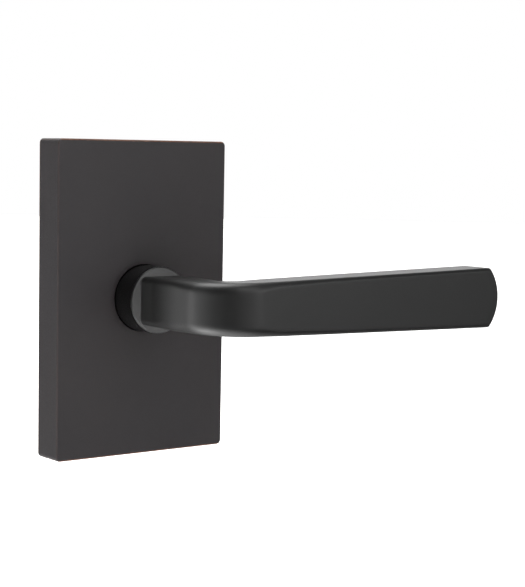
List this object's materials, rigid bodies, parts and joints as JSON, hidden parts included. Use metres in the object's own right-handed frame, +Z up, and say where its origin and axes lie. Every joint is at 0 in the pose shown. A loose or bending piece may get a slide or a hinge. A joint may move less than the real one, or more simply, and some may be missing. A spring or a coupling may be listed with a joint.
{
  "type": "door lever handle",
  "caption": "Straight flared door lever on a tall rectangular rose, with a sprung return cassette, a square spindle and threaded posts behind it.",
  "frame": {"origin": "on the door's face, where the lever's turning axis crosses it, midway between the two threaded posts", "axes": "+Y into the door along the spindle, -Y into the room, +X the way the lever points, +Z up"},
  "size_m": [0.1415, 0.1087, 0.1016],
  "materials": {
    "rose_bronze": "satin dark bronze with copper-toned edges",
    "lever_black": "satin flat black",
    "black_nylon": "moulded black nylon",
    "white_nylon": "moulded natural nylon",
    "zinc_plate": "bright zinc plated steel",
    "die_cast": "as-cast grey zinc alloy",
    "spring_steel": "drawn spring steel",
    "brass": "machined brass",
    "black_oxide": "black oxide steel"
  },
  "bodies": {
    "rose": {"rose_cover": "rose_bronze", "neck_bushing": "black_nylon", "mounting_plate": "zinc_plate", "spring_housing": "die_cast", "housing_screws": "zinc_plate", "front_bearing": "white_nylon", "rear_bearing": "white_nylon", "torsion_spring": "spring_steel", "spring_anchor_pins": "spring_steel", "stop_pins": "spring_steel", "upper_cover_clip": "spring_steel", "lower_cover_clip": "spring_steel", "clip_rivets": "zinc_plate", "threaded_posts": "zinc_plate"},
    "lever": {"lever_handle": "lever_black", "lever_shank": "brass", "drive_hub": "brass", "spindle": "zinc_plate", "set_screw": "black_oxide", "thrust_washer": "white_nylon", "wave_washer": "spring_steel", "retaining_ring": "black_oxide"}
  },
  "joints": [
    {"name": "lever_turn", "type": "hinge", "parent": "rose", "child": "lever", "pos_m": [0, 0, 0], "axis": [0, 1, 0], "range_deg": [-45, 45], "stiffness_Nm_per_rad": 1.2, "springref_deg": -5.73, "deforming": ["torsion_spring"]}
  ]
}
